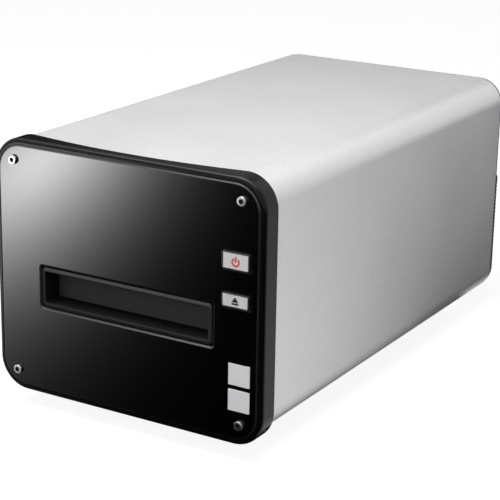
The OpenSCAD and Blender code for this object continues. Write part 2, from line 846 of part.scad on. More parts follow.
// Cast bench that holds the mirror, the lens and the sensor in line
module optics_bench() color("darkgray") at_face() {
    half_w = 50;
    rear = 276;
    saddle_half = 24;
    saddle_front = lens_y + lens_seat;
    saddle_rear = lens_y + lens_l - lens_seat;
    wedge_front = 78;
    wedge_h = 42;
    upright_y = sensor_y + board_t;
    upright_t = 5;
    window = [20, 8];
    difference() {
        union() {
            block([-half_w, wedge_front, chassis_floor], [half_w, rear, bench_z]);
            translate([-half_w, 0, bench_z - eps]) rotate([90, 0, 90]) linear_extrude(2 * half_w)
                polygon([
                    [wedge_front, 0], [slope_y, 0], [slope_y - wedge_h, wedge_h], [wedge_front, wedge_h]
                ]);
            block([-saddle_half, saddle_front, bench_z - eps], [saddle_half, saddle_rear, optic_z]);
            block([-half_w, upright_y, bench_z - eps], [half_w, upright_y + upright_t, sensor_top + 2]);
        }
        translate([0, 0, optic_z]) rod_y(lens_r, lens_y - 1, lens_y + lens_l + 1);
        block([-window[0], upright_y - 1, optic_z - window[1]],
              [window[0], upright_y + upright_t + 1, optic_z + window[1]]);
    }
}

// Front-silvered mirror on the bench's slope, turning the light towards the lens
module fold_mirror() color("lightcyan") at_face() {
    half_w = 46;
    length = 48;
    lower_edge = 4;
    glass_t = 3;
    translate([-half_w, slope_y, bench_z]) rotate([-45, 0, 0])
        translate([0, -length - lower_edge, 0]) cube([2 * half_w, length, glass_t]);
}

module lens_barrel() color([0.12, 0.12, 0.12]) at_face() translate([0, 0, optic_z]) {
    front_r = 12;
    front_d = 4;
    rear_r = 9;
    rear_d = 3;
    groove_r = 15.5;
    groove_w = 2;
    difference() {
        rod_y(lens_r, lens_y, lens_y + lens_l);
        rod_y(front_r, lens_y - 1, lens_y + front_d);
        rod_y(rear_r, lens_y + lens_l - rear_d, lens_y + lens_l + 1);
        for (y = [lens_y + groove_w, lens_y + lens_l - 2 * groove_w]) difference() {
            rod_y(lens_r + 1, y, y + groove_w);
            rod_y(groove_r, y - 1, y + groove_w + 1);
        }
    }
}

// Board with the line sensor, facing the lens
module sensor_board() color("darkgreen") at_face() {
    half_w = 45;
    low = -76;
    chip = [36, 3, 6];
    block([-half_w, sensor_y, low], [half_w, sensor_y + board_t, sensor_top]);
    block([-chip[0], sensor_y - chip[1], optic_z - chip[2]], [chip[0], sensor_y + eps, optic_z + chip[2]]);
}

// Main board on the left side plate's standoffs, with its chips, cans and connectors
module main_board() color("darkgreen") at_face() {
    face = -board_x - board_t;
    chips = [[212, -20], [248, -20], [288, -24]];
    chip_half = 11;
    chip_t = 2.2;
    can_r = 5;
    can_l = 11;
    can_z = 8;
    can_y = [204 : 14 : 246];
    plug_t = 8;
    plugs = [[262, 2, 34], [206, -60, 30], [250, -60, 20]];
    plug_h = 10;
    block([face, board_y0, board_low], [face + board_t, board_y1, board_high]);
    for (c = chips)
        block([face - chip_t, c[0] - chip_half, c[1] - chip_half],
              [face + eps, c[0] + chip_half, c[1] + chip_half]);
    for (y = can_y) translate([0, y, can_z]) rod_x(can_r, face - can_l, face + eps);
    for (p = plugs) block([face - plug_t, p[0], p[1]], [face + eps, p[0] + p[2], p[1] + plug_h]);
}

// ---------------------------------------------------------------- rear

module rear_panel() color([0.08, 0.08, 0.08]) at_face() {
    inset = 0.4;
    boss_r = 6;
    difference() {
        union() {
            prism(panel_y, cover_y) translate([0, sleeve_z])
                rounded(sleeve_w - 2 * inset, sleeve_h - 2 * inset, sleeve_r - inset);
            spigot_ring(rear_wall_y + sheet, panel_y + eps);
            at_corners(rear_screw_x, rear_screw_z, sleeve_z)
                rod_y(boss_r, rear_wall_y + sheet, panel_y + eps);
        }
        at_corners(rear_screw_x, rear_screw_z, sleeve_z) rod_y(hole_r, rear_wall_y, cover_y + 1);
        socket_holes(panel_y - 1, cover_y + 1, 0);
        vents(panel_y - 1, cover_y + 1, vent_mid);
    }
}

// Louvred cover over the lower half of the rear panel
module rear_cover() color([0.05, 0.05, 0.05]) at_face() {
    inset = 0.8;
    bevel = 1.6;
    low = -80;
    louvre_t = 1.2;
    groove_d = 1;
    head_room = 3.6;
    vent_half_w = (vent_cells[0] * (vent_w + vent_rib) - vent_rib) / 2;
    vent_half_h = (vent_cells[1] * (vent_h + vent_rib) - vent_rib) / 2;
    difference() {
        intersection() {
            prism(cover_y, body_depth) translate([0, sleeve_z])
                rounded(sleeve_w - 2 * inset, sleeve_h - 2 * inset, sleeve_r - inset);
            block([-sleeve_w, cover_y - 1, -sleeve_h], [sleeve_w, body_depth + 1, cover_top]);
        }
        translate([0, body_depth, cover_top]) rotate([45, 0, 0])
            cube([2 * sleeve_w, bevel * sqrt(2), bevel * sqrt(2)], center = true);
        for (z = [low : louvre_pitch : cover_top - 2 * louvre_pitch]) {
            block([-sleeve_w, body_depth - groove_d, z], [sleeve_w, body_depth + 1, z + louvre_t]);
            if (abs(z + louvre_t / 2 - vent_mid) < vent_half_h)
                block([-vent_half_w, cover_y - 1, z], [vent_half_w, body_depth, z + louvre_t]);
        }
        for (side = [-1, 1]) translate([side * rear_screw_x, 0, sleeve_z - rear_screw_z]) {
            rod_y(head_room, cover_y + cover_seat, body_depth + 1);
            rod_y(hole_r, cover_y - 1, body_depth);
        }
    }
}

// Cross recess sunk to both sides of z = 0
module cross_recess() {
    arm = 3.4;
    arm_t = 0.8;
    depth = 1.6;
    cube([arm, arm_t, depth], center = true);
    cube([arm_t, arm, depth], center = true);
}

// Pan-head screw with a cross recess, through the rear panel into the chassis
module rear_screw(i) color("dimgray") at_face() {
    c = corners[i - 1];
    seat = c[1] < 0 ? cover_y + cover_seat : cover_y;
    head = 1.8;
    edge = 0.5;
    edge_w = 0.9;
    end = rear_wall_y - nut_l;
    translate([c[0] * rear_screw_x, 0, sleeve_z + c[1] * rear_screw_z]) difference() {
        union() {
            rod_y(head_r, seat, seat + head - edge);
            translate([0, seat + head - edge, 0]) rotate([-90, 0, 0])
                cylinder(r1 = head_r, r2 = head_r - edge_w, h = edge);
            rod_y(screw_r, end, seat + eps);
        }
        translate([0, seat + head, 0]) rotate([90, 0, 0]) cross_recess();
    }
}

// Barrel-type power inlet with its centre pin
module power_inlet() color([0.1, 0.1, 0.1]) at_face() translate([jack_x, 0, socket_z]) {
    half = jack_w / 2;
    depth = 14;
    barrel_bore_r = 3.2;
    bore_l = 9.5;
    centre_r = 1;
    centre_back = 1;
    difference() {
        block([-half, cover_y - depth, -half], [half, cover_y, half]);
        rod_y(barrel_bore_r, cover_y - bore_l, cover_y + 1);
    }
    rod_y(centre_r, cover_y - bore_l - eps, cover_y - centre_back);
}

// Square data socket with its tongue
module usb_socket() color("silver") at_face() translate([usb_x, 0, socket_z]) {
    depth = 16;
    half_w = usb_w / 2;
    half_h = usb_h / 2;
    wall = 1.6;
    cavity_l = 9;
    tongue = [2.8, 1.6];
    difference() {
        block([-half_w, cover_y - depth, -half_h], [half_w, cover_y, half_h]);
        block([-half_w + wall, cover_y - cavity_l, -half_h + wall],
              [half_w - wall, cover_y + 1, half_h - wall]);
    }
    block([-tongue[0], cover_y - cavity_l - eps, -tongue[1]], [tongue[0], cover_y - 1, tongue[1]]);
}

// Frame of the mains rocker switch, with a flange outside the panel
module switch_frame() color([0.06, 0.06, 0.06]) at_face() translate([switch_x, 0, socket_z]) {
    flange_t = 1.6;
    flange_w = switch_w + 3.6;
    flange_h = switch_h + 3;
    open_w = 18.6;
    open_h = 10.2;
    back_y = 356;
    difference() {
        union() {
            block([-flange_w / 2, cover_y, -flange_h / 2],
                  [flange_w / 2, cover_y + flange_t, flange_h / 2]);
            block([-switch_w / 2, back_y, -switch_h / 2],
                  [switch_w / 2, cover_y + eps, switch_h / 2]);
        }
        block([-open_w / 2, back_y + 4, -open_h / 2], [open_w / 2, cover_y + flange_t + 1, open_h / 2]);
        translate([0, rocker_y, 0]) cylinder(r = screw_r, h = 2 * switch_h, center = true);
    }
}

// Rocker of the mains switch, tilted to its off position
module switch_rocker() color([0.12, 0.12, 0.12]) at_face() translate([switch_x, rocker_y, socket_z]) {
    half_h = 4.9;
    half_w = 8.6;
    tip = 3.4;
    dip = 2.2;
    waist = 3;
    rotate([0, 0, -rocker_tilt]) translate([0, 0, -half_h]) linear_extrude(2 * half_h)
        polygon([
            [-half_w, 1], [-half_w, tip], [0, dip], [half_w, tip], [half_w, 1],
            [waist, -waist], [-waist, -waist]
        ]);
    cylinder(r = screw_r - running_gap, h = switch_h - 1, center = true);
}

// ---------------------------------------------------------------- feet

module foot(i) color([0.12, 0.12, 0.12]) at_face() {
    p = foot_places[i - 1];
    height = sleeve_bottom - ground;
    rim_h = 1.2;
    rim_r = 9.4;
    tread_r = 8.6;
    recess_r = 5;
    translate([p[0], p[1], ground]) difference() {
        union() {
            cylinder(r1 = tread_r, r2 = rim_r, h = rim_h);
            translate([0, 0, rim_h]) cylinder(r1 = rim_r, r2 = foot_r, h = height - rim_h);
        }
        translate([0, 0, -1]) cylinder(r = recess_r, h = foot_seat + 1);
        cylinder(r = hole_r, h = 2 * height);
    }
}

// Screw that holds a foot to the chassis, its head inside the foot
module foot_screw(i) color("silver") at_face() {
    p = foot_places[i - 1];
    seat = ground + foot_seat;
    head = 2;
    edge_w = 0.6;
    end = chassis_floor + 2;
    translate([p[0], p[1], 0]) difference() {
        union() {
            translate([0, 0, seat - head]) cylinder(r1 = head_r - edge_w, r2 = head_r, h = head);
            translate([0, 0, seat - eps]) cylinder(r = screw_r, h = end - seat + eps);
        }
        translate([0, 0, seat - head]) cross_recess();
    }
}

// ---------------------------------------------------------------- nodes

housing_sleeve();
front_bezel();
face_plate();
slot_frame();
for (i = [1:4]) {
    face_screw(i);
    rear_screw(i);
    foot(i);
    foot_screw(i);
}
badge_upper();
badge_lower();
rear_panel();
rear_cover();
power_inlet();
usb_socket();
switch_frame();
switch_rocker();
power_button();
power_label();
eject_button();
eject_label();
button_board();
dust_door();
door_pin();
door_spring();
chassis();
side_plate_left();
side_plate_right();
film_table();
front_drive_shaft();
front_drive_roller();
front_pulley();
front_pinch_roller();
rear_drive_shaft();
rear_drive_roller();
rear_pulley();
rear_pinch_roller();
drive_motor();
motor_pulley();
motor_belt();
link_belt();
light_unit();
led_board();
light_diffuser();
optics_bench();
fold_mirror();
lens_barrel();
sensor_board();
main_board();
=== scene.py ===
"""Looks of the desktop film scanner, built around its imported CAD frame.

Shapes are given in face coordinates and millimetres, as in the CAD source: x to the right seen
from the front, y back from the face plate's front, z up from the middle of the bezel.
"""

import json
import math

import bmesh
import bpy
from mathutils import Matrix, Vector


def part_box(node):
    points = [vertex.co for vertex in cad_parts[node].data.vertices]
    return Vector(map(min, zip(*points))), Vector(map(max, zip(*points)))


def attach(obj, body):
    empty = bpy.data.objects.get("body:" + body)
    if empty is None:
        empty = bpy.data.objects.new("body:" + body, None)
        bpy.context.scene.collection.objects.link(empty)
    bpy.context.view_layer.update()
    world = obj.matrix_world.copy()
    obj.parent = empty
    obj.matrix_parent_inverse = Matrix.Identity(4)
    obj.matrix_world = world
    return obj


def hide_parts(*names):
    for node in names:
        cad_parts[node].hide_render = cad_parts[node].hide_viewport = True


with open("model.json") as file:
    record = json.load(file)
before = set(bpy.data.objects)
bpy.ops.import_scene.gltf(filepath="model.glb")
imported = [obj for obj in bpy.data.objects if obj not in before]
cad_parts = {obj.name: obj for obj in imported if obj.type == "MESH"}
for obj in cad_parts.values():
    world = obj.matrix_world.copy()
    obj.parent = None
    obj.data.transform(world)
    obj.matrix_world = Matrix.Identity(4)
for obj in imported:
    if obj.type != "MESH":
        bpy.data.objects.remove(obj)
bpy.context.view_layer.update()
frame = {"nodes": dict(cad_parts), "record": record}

MM = 0.001
FACE_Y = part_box("face_plate")[0].y
MID_Z = (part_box("front_bezel")[0].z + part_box("front_bezel")[1].z) / 2
CORNER_STEPS = 20
ROUND_STEPS = 48
MOST_OF_EDGE = 0.45
SHARP_ANGLE = math.radians(40)
MERGE_DISTANCE = 1e-7


def place(x, y, z):
    """Face coordinates in millimetres to the row frame in metres."""
    return Vector((x * MM, y * MM + FACE_Y, z * MM + MID_Z))


def face_box(node):
    """Lowest and highest corner of a CAD node, in face coordinates."""
    low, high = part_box(node)
    return [(p.x / MM, (p.y - FACE_Y) / MM, (p.z - MID_Z) / MM) for p in (low, high)]


def middle_of(low, high):
    """Middle (x, z) of a box given by its corners."""
    return (low[0] + high[0]) / 2, (low[2] + high[2]) / 2


# ------------------------------------------------------------------ camera

PHOTO_PIXELS = 500
FOCAL_PIXELS = 1651.9
SENSOR = 36
CAMERA_AZIMUTH = math.radians(30.86)
CAMERA_ELEVATION = math.radians(17.61)
CAMERA_ROLL = math.radians(1.0)
CAMERA_PLACE = (586.9, -824.5, 348.7)


def make_camera():
    """Camera at the photograph's viewing angle."""
    across = math.cos(CAMERA_ELEVATION)
    back = Vector((
        math.sin(CAMERA_AZIMUTH) * across,
        -math.cos(CAMERA_AZIMUTH) * across,
        math.sin(CAMERA_ELEVATION),
    ))
    right = (-back).cross(Vector((0, 0, 1))).normalized()
    up = right.cross(-back)
    side = right * math.cos(CAMERA_ROLL) + up * math.sin(CAMERA_ROLL)
    top = up * math.cos(CAMERA_ROLL) - right * math.sin(CAMERA_ROLL)
    data = bpy.data.cameras.new("camera")
    data.sensor_width = SENSOR
    data.lens = FOCAL_PIXELS / PHOTO_PIXELS * SENSOR
    camera = bpy.data.objects.new("camera", data)
    bpy.context.scene.collection.objects.link(camera)
    turn = Matrix((side, top, back)).transposed().to_4x4()
    camera.matrix_world = Matrix.Translation(place(*CAMERA_PLACE)) @ turn
    bpy.context.scene.camera = camera


make_camera()

# ------------------------------------------------------------------ shape helpers


def outline(w, h, r, middle=(0, 0), top_steps=1):
    """Points (x, z) of a rounded rectangle around middle, its top edge in that many steps."""
    r = max(r, 0.1)
    points = []
    for quarter, (sx, sz) in enumerate(((1, 1), (-1, 1), (-1, -1), (1, -1))):
        for i in range(CORNER_STEPS + 1):
            a = math.pi / 2 * (quarter + i / CORNER_STEPS)
            x = sx * (w / 2 - r) + r * math.cos(a)
            z = sz * (h / 2 - r) + r * math.sin(a)
            points.append((middle[0] + x, middle[1] + z))
        if quarter == 0:
            for k in range(1, top_steps):
                x = (w / 2 - r) * (1 - 2 * k / top_steps)
                points.append((middle[0] + x, middle[1] + z))
    return points


def rectangle(x0, z0, x1, z1):
    """Corners of a rectangle between two opposite ones."""
    return [(x0, z0), (x1, z0), (x1, z1), (x0, z1)]


def circle(r, middle=(0, 0)):
    """Points of a circle around middle."""
    turns = [2 * math.pi * i / ROUND_STEPS for i in range(ROUND_STEPS)]
    return [(middle[0] + r * math.cos(a), middle[1] + r * math.sin(a)) for a in turns]


def hexagon(r, middle=(0, 0)):
    """Points of a hexagon, as many as a circle has."""
    per_side = ROUND_STEPS // 6
    points = []
    for i in range(ROUND_STEPS):
        side, share = divmod(i, per_side)
        a, b = (math.pi / 3 * (side + k) for k in (0, 1))
        t = share / per_side
        x = math.cos(a) * (1 - t) + math.cos(b) * t
        z = math.sin(a) * (1 - t) + math.sin(b) * t
        points.append((middle[0] + r * x, middle[1] + r * z))
    return points


def soften(profile, radius, closed=False, steps=3):
    """Rounds the corners of a profile by up to radius."""
    made = []
    count = len(profile)
    for i, corner in enumerate(profile):
        if not closed and i in (0, count - 1):
            made.append(corner)
            continue
        here = Vector(corner)
        before = Vector(profile[i - 1]) - here
        after = Vector(profile[(i + 1) % count]) - here
        start = here + before * min(radius / before.length, MOST_OF_EDGE)
        end = here + after * min(radius / after.length, MOST_OF_EDGE)
        for k in range(steps + 1):
            t = k / steps
            made.append(tuple(start * (1 - t) ** 2 + here * 2 * t * (1 - t) + end * t ** 2))
    return made


class Shape:
    """A mesh under construction, in face coordinates.

    bend(x, y, z) gives a point's depth, and finish is the material index of the next faces.
    """

    def __init__(self, bend=None, top_steps=1):
        self.bm = bmesh.new()
        self.bend = bend
        self.top_steps = top_steps
        self.finish = 0

    def ring(self, points, y):
        """Loop of points at that depth."""
        depths = [self.bend(x, y, z) if self.bend else y for x, z in points]
        return [self.bm.verts.new(place(x, depth, z)) for (x, z), depth in zip(points, depths)]

    def join(self, a, b):
        """Faces between two rings with as many points."""
        for i in range(len(a)):
            k = (i + 1) % len(a)
            self.bm.faces.new((a[i], a[k], b[k], b[i])).material_index = self.finish

    def loft(self, w, h, r, profile, middle=(0, 0), closed=False):
        """Skin over rounded rectangles; the profile gives each one's inset and depth."""
        rings = []
        for i, y in profile:
            points = outline(w - 2 * i, h - 2 * i, r - i, middle, self.top_steps)
            rings.append(self.ring(points, y))
        self.skin(rings, closed)
        return rings

    def lathe(self, profile, middle=(0, 0)):
        """Skin over circles; the profile gives each one's radius and depth."""
        rings = [self.ring(circle(r, middle), y) for r, y in profile]
        self.skin(rings)
        return rings

    def skin(self, rings, closed=False):
        """Faces between each ring and the next, and back to the first when closed."""
        for a, b in zip(rings, rings[1:]):
            self.join(a, b)
        if closed:
            self.join(rings[-1], rings[0])

    def flat(self, *rings):
        """Flat face inside the first ring, with the other rings as its holes."""
        if len(rings) == 1:
            self.bm.faces.new(rings[0]).material_index = self.finish
            return
        edges = set()
        for ring in rings:
            for i, vert in enumerate(ring):
                pair = (ring[i - 1], vert)
                edges.add(self.bm.edges.get(pair) or self.bm.edges.new(pair))
        bmesh.ops.triangle_fill(self.bm, use_beauty=True, use_dissolve=False, edges=list(edges))

    def slab(self, points, y0, y1):
        """Flat plate with that outline from y0 to y1."""
        front, back = self.ring(points, y0), self.ring(points, y1)
        self.join(front, back)
        self.flat(front)
        self.flat(back)

    def paint(self, low, high):
        """Gives the second finish to the faces whose middle lies between two depths."""
        for face in self.bm.faces:
            if low < (face.calc_center_median().y - FACE_Y) / MM < high:
                face.material_index = 1

    def piece(self, name, body, slot, *nodes, second=None):
        """Turns the shape into a piece that rides on a body and stands for those nodes."""
        bmesh.ops.remove_doubles(self.bm, verts=self.bm.verts, dist=MERGE_DISTANCE)
        bmesh.ops.dissolve_degenerate(self.bm, edges=self.bm.edges, dist=MERGE_DISTANCE)
        bmesh.ops.recalc_face_normals(self.bm, faces=self.bm.faces)
        mesh = bpy.data.meshes.new(name)
        self.bm.to_mesh(mesh)
        self.bm.free()
        mesh.shade_smooth()
        mesh.set_sharp_from_angle(angle=SHARP_ANGLE)
        obj = bpy.data.objects.new(name, mesh)
        bpy.context.scene.collection.objects.link(obj)
        normals = obj.modifiers.new("normals", "WEIGHTED_NORMAL")
        normals.keep_sharp = True
        mesh.materials.append(material(slot))
        if second:
            mesh.materials.append(material(second))
        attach(obj, body)
        if nodes:
            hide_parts(*nodes)
        return obj


# ------------------------------------------------------------------ materials

# Range in which almost all of a noise texture's values lie.
NOISE_RANGE = (0.3, 0.7)

# A finish gives the colour and the shader's plain values, the grain's size in millimetres with its
# stretch, tone and relief, and the size and strength of the patches in roughness.
DEFAULTS = {
    "rough": 0.5, "metal": 0.0, "specular": 0.5, "coat": 0.0, "coat_rough": 0.1,
    "grain": 0.8, "stretch": (1, 1, 1), "tone": 0.06, "bump": 0.01,
    "cloud": 30, "patch": 0.05,
}

FINISHES = {
    "sleeve_aluminium": {
        "colour": (0.74, 0.74, 0.745), "rough": 0.45, "metal": 0.65, "grain": 0.9,
        "tone": 0.07, "bump": 0.02, "cloud": 60, "patch": 0.03,
    },
    "bezel_black": {
        "colour": (0.003, 0.003, 0.0032), "rough": 0.22, "specular": 0.15, "grain": 0.35, "bump": 0.002,
    },
    "plate_gloss": {
        "colour": (0.0012, 0.0012, 0.0013), "rough": 0.05, "grain": 2, "tone": 0.2, "bump": 0,
        "cloud": 45, "patch": 0.02,
    },
    # plate_edge_painted_highlight: the plate's black made lighter and satin on its bevels, partly satin
    # finish and partly painted highlight
    "plate_edge_painted_highlight": {"colour": (0.018, 0.018, 0.019), "rough": 0.3, "grain": 0.2, "bump": 0.004},
    # socket_painted_shade: the screws' own steel, darkened as painted shade inside their hex sockets
    "socket_painted_shade": {
        "colour": (0.012, 0.012, 0.012), "rough": 0.5, "metal": 0.5, "grain": 0.3, "bump": 0.004,
    },
    "slot_grey": {"colour": (0.03, 0.03, 0.032), "rough": 0.42, "grain": 0.3, "bump": 0.008},
    # slot_painted_shade: the slot's own grey plastic, darkened as painted shade inside the throat and on
    # the cheeks
    "slot_painted_shade": {
        "colour": (0.006, 0.006, 0.006), "rough": 0.6, "specular": 0.2, "grain": 0.3, "bump": 0.008,
    },
    "door_grey": {"colour": (0.055, 0.055, 0.057), "rough": 0.5, "grain": 0.3, "bump": 0.008},
    "screw_steel": {
        "colour": (0.5, 0.5, 0.51), "rough": 0.3, "metal": 1, "grain": 0.25, "tone": 0.1,
        "bump": 0.004,
    },
    "screw_dark": {"colour": (0.04, 0.04, 0.042), "rough": 0.4, "metal": 0.6, "grain": 0.3},
    "badge_silver": {
        "colour": (0.86, 0.86, 0.87), "rough": 0.5, "metal": 0.05, "grain": 0.4, "bump": 0.004,
    },
    "panel_black": {"colour": (0.02, 0.02, 0.021), "rough": 0.55, "grain": 0.6, "bump": 0.03},
    "cover_black": {"colour": (0.016, 0.016, 0.017), "rough": 0.5, "grain": 0.5, "bump": 0.02},
    "foot_rubber": {
        "colour": (0.02, 0.02, 0.02), "rough": 0.8, "specular": 0.3, "grain": 0.8, "bump": 0.05,
    },
    "button_black": {"colour": (0.008, 0.008, 0.009), "rough": 0.3, "grain": 0.4, "bump": 0.004},
    "label_silver": {
        "colour": (0.72, 0.72, 0.725), "rough": 0.45, "metal": 0.1, "grain": 0.35, "tone": 0.12,
        "bump": 0.006,
    },
    "sheet_zinc": {
        "colour": (0.52, 0.54, 0.56), "rough": 0.38, "metal": 0.9, "grain": 1.2, "tone": 0.14,
        "stretch": (1, 6, 1), "cloud": 12, "patch": 0.12,
    },
    "table_black": {"colour": (0.03, 0.03, 0.03), "rough": 0.5, "grain": 0.5, "bump": 0.02},
    "shaft_steel": {
        "colour": (0.66, 0.66, 0.67), "rough": 0.25, "metal": 1, "grain": 0.15, "tone": 0.12,
        "stretch": (1, 8, 8), "bump": 0.003,
    },
    "roller_rubber": {
        "colour": (0.05, 0.05, 0.052), "rough": 0.75, "specular": 0.3, "grain": 0.25, "tone": 0.2,
        "stretch": (1, 6, 6), "bump": 0.02,
    },
    "pulley_white": {"colour": (0.7, 0.7, 0.66), "rough": 0.5, "grain": 0.8, "bump": 0.01},
    "motor_dark": {"colour": (0.12, 0.12, 0.125), "rough": 0.4, "metal": 0.7, "grain": 0.8, "bump": 0.01},
    "belt_rubber": {"colour": (0.02, 0.02, 0.02), "rough": 0.7, "grain": 0.5, "bump": 0.03},
    "cast_aluminium": {
        "colour": (0.45, 0.45, 0.46), "rough": 0.6, "metal": 0.8, "grain": 1.5, "tone": 0.15,
        "bump": 0.08, "cloud": 15, "patch": 0.1,
    },
    "board_white": {"colour": (0.8, 0.79, 0.74), "rough": 0.35, "grain": 1.0, "bump": 0.01},
    "diffuser_white": {"colour": (0.85, 0.85, 0.85), "rough": 0.45, "grain": 1.0, "bump": 0.01},
    "mirror_silver": {
        "colour": (0.85, 0.87, 0.88), "rough": 0.03, "metal": 1, "grain": 2, "tone": 0.02, "bump": 0,
    },
    "lens_black": {"colour": (0.02, 0.02, 0.02), "rough": 0.4, "metal": 0.5, "grain": 0.3, "bump": 0.006},
    "socket_metal": {
        "colour": (0.6, 0.6, 0.6), "rough": 0.3, "metal": 1, "grain": 0.6, "stretch": (1, 8, 1),
    },
    "inlet_black": {"colour": (0.02, 0.02, 0.02), "rough": 0.45, "grain": 0.4, "bump": 0.01},
    "board_green": {"colour": (0.012, 0.11, 0.045), "rough": 0.3, "grain": 1.0, "coat": 0.3},
    "mark_red": {"colour": (0.75, 0.03, 0.02), "rough": 0.4, "grain": 0.4, "bump": 0.002},
    "mark_black": {"colour": (0.006, 0.006, 0.006), "rough": 0.4, "grain": 0.4, "bump": 0.002},
}


def noise(tree, size, stretch=(1, 1, 1)):
    """Noise in the object's own space, with blobs about size millimetres across."""
    coords = tree.nodes.new("ShaderNodeTexCoord")
    mapping = tree.nodes.new("ShaderNodeMapping")
    mapping.inputs["Scale"].default_value = [1 / (size * MM * s) for s in stretch]
    texture = tree.nodes.new("ShaderNodeTexNoise")
    texture.inputs["Scale"].default_value = 1
    texture.inputs["Detail"].default_value = 3
    tree.links.new(coords.outputs["Object"], mapping.inputs["Vector"])
    tree.links.new(mapping.outputs["Vector"], texture.inputs["Vector"])
    return texture.outputs["Fac"]


def spread(tree, value, low, high):
    """Stretches noise to run from low to high."""
    node = tree.nodes.new("ShaderNodeMapRange")
    node.inputs["From Min"].default_value, node.inputs["From Max"].default_value = NOISE_RANGE
    node.inputs["To Min"].default_value = low
    node.inputs["To Max"].default_value = high
    tree.links.new(value, node.inputs["Value"])
    return node.outputs["Result"]


def tint(tree, share, dark, light):
    """Colour between dark and light."""
    node = tree.nodes.new("ShaderNodeMix")
    node.data_type = "RGBA"
    node.inputs["A"].default_value = (*dark, 1)
    node.inputs["B"].default_value = (*light, 1)
    tree.links.new(share, node.inputs["Factor"])
    return node.outputs["Result"]


def make_material(slot):
    """Procedural finish: grain in colour and relief, and broad patches in roughness."""
    look = {**DEFAULTS, **FINISHES[slot]}
    made = bpy.data.materials.new(slot)
    made.use_nodes = True
    tree = made.node_tree
    shader = tree.nodes["Principled BSDF"]
    shader.inputs["Metallic"].default_value = look["metal"]
    shader.inputs["Specular IOR Level"].default_value = look["specular"]
    shader.inputs["Coat Weight"].default_value = look["coat"]
    shader.inputs["Coat Roughness"].default_value = look["coat_rough"]
    grain = noise(tree, look["grain"], look["stretch"])
    share = spread(tree, grain, 0, 1)
    dark = [c * (1 - look["tone"]) for c in look["colour"]]
    light = [min(1, c * (1 + look["tone"])) for c in look["colour"]]
    tree.links.new(tint(tree, share, dark, light), shader.inputs["Base Color"])
    low, high = look["rough"] - look["patch"] / 2, look["rough"] + look["patch"] / 2
    cloud = noise(tree, look["cloud"])
    tree.links.new(spread(tree, cloud, max(0, low), high), shader.inputs["Roughness"])
    if look["bump"]:
        bump = tree.nodes.new("ShaderNodeBump")
        bump.inputs["Strength"].default_value = 1
        bump.inputs["Distance"].default_value = look["bump"] * MM
        tree.links.new(grain, bump.inputs["Height"])
        tree.links.new(bump.outputs["Normal"], shader.inputs["Normal"])
    return made


_materials = {}


def material(slot):
    """The finish of a slot, made once."""
    if slot not in _materials:
        _materials[slot] = make_material(slot)
    return _materials[slot]


# ------------------------------------------------------------------ carried-over CAD nodes

EASE = 0.15
EASED_ANGLE = math.radians(35)
FLAT_ANGLE = math.radians(0.5)
WELD_DISTANCE = 0.001


def dress_cad_nodes():
    """Gives every CAD node its finish, and rounds its sharp edges slightly."""
    for part in frame["record"]["subparts"]:
        obj = frame["nodes"][part["node"]]
        for slot in obj.material_slots:
            slot.material = material(part["material_slot"])
        weld = obj.modifiers.new("weld", "WELD")
        weld.merge_threshold = WELD_DISTANCE * MM
        flats = obj.modifiers.new("flats", "DECIMATE")
        flats.decimate_type = "DISSOLVE"
        flats.angle_limit = FLAT_ANGLE
        edges = obj.modifiers.new("edges", "BEVEL")
        edges.width = EASE * MM
        edges.segments = 2
        edges.limit_method = "ANGLE"
        edges.angle_limit = EASED_ANGLE
        edges.miter_outer = "MITER_ARC"
        normals = obj.modifiers.new("normals", "WEIGHTED_NORMAL")
        normals.keep_sharp = True


dress_cad_nodes()

# ------------------------------------------------------------------ case

# Rounded rectangles are given as width, height, corner radius and, where it isn't (0, 0), middle.
# BOW_* shape the forward curve in the seam between bezel and sleeve.
SLEEVE = (202.2, 173.6, 19, (0, 0.6))
SLEEVE_Y = (15.2, 368.2)
SLEEVE_WALL = 2
SLEEVE_EDGE = 0.4
BEZEL = (210, 177.2, 21.9)
PLATE = (202, 169.2, 17.9)
PLATE_T = 3
PLATE_BEVEL = (0.9, 0.7)
PLATE_EDGE = 0.25
RIM_BACK = 0.5
RIM_W = 3.7
FRONT_R = 2.8
BOW_DEPTH = 7.2
BOW_HALF = 82.1
BOW_FLAT = 0.8
BOW_REACH = 8
BOW_STEPS = 40
WEB_BACK = 6
SPIGOT = (198, 169.4, 16.9, (0, 0.6))
SPIGOT_T = 2.5
SPIGOT_END = 24.6
SPIGOT_EDGE = 0.2
SCREWS = [(sx * 88.5, sz * 73.9) for sx, sz in ((-1, -1), (1, -1), (1, 1), (-1, 1))]
HOLE_R = 1.7
BOSS_R = 5
SLOT_MIDDLE = (0, -10.6)
FRAME = (133.6, 27.6, 3)
FRAME_CHAMFER = (1.4, 0.7)
SLOT = (128, 22, 1.2)
THROAT_END = 12.5
FLANGE_TOP = 9.4
FLANGE_T = 2.5
GROOVE = 0.9
GROOVE_R = 1.6
GROOVE_BEVEL = 1.2
HOLE_EDGE = 0.12
FRAME_GAP = 0.2
BUTTON_GAP = 0.4
BUTTON_BEVEL = 0.6
CAP_MARGIN = (1.2, 0.9)
CAP_R = 1.6


def button_outline(node, grow):
    """Width, height, corner radius and middle of a button cap, grown on every side."""
    label_low, label_high = face_box(node.replace("button", "label"))
    w = label_high[0] - label_low[0] + 2 * (CAP_MARGIN[0] + grow)
    h = label_high[2] - label_low[2] + 2 * (CAP_MARGIN[1] + grow)
    return w, h, CAP_R + grow, middle_of(label_low, label_high)


def bow(x, y, z):
    """Depth of a point after the forward curve in the top of the seam between bezel and sleeve."""
    if z < 0 or abs(x) >= BOW_HALF:
        return y
    radius = (BOW_HALF ** 2 + BOW_DEPTH ** 2) / (2 * BOW_DEPTH)
    depth = BOW_DEPTH - radius + math.sqrt(radius ** 2 - x ** 2)
    away = max(0, abs(y - SLEEVE_Y[0]) - BOW_FLAT)
    return y - depth * max(0, 1 - away / BOW_REACH)


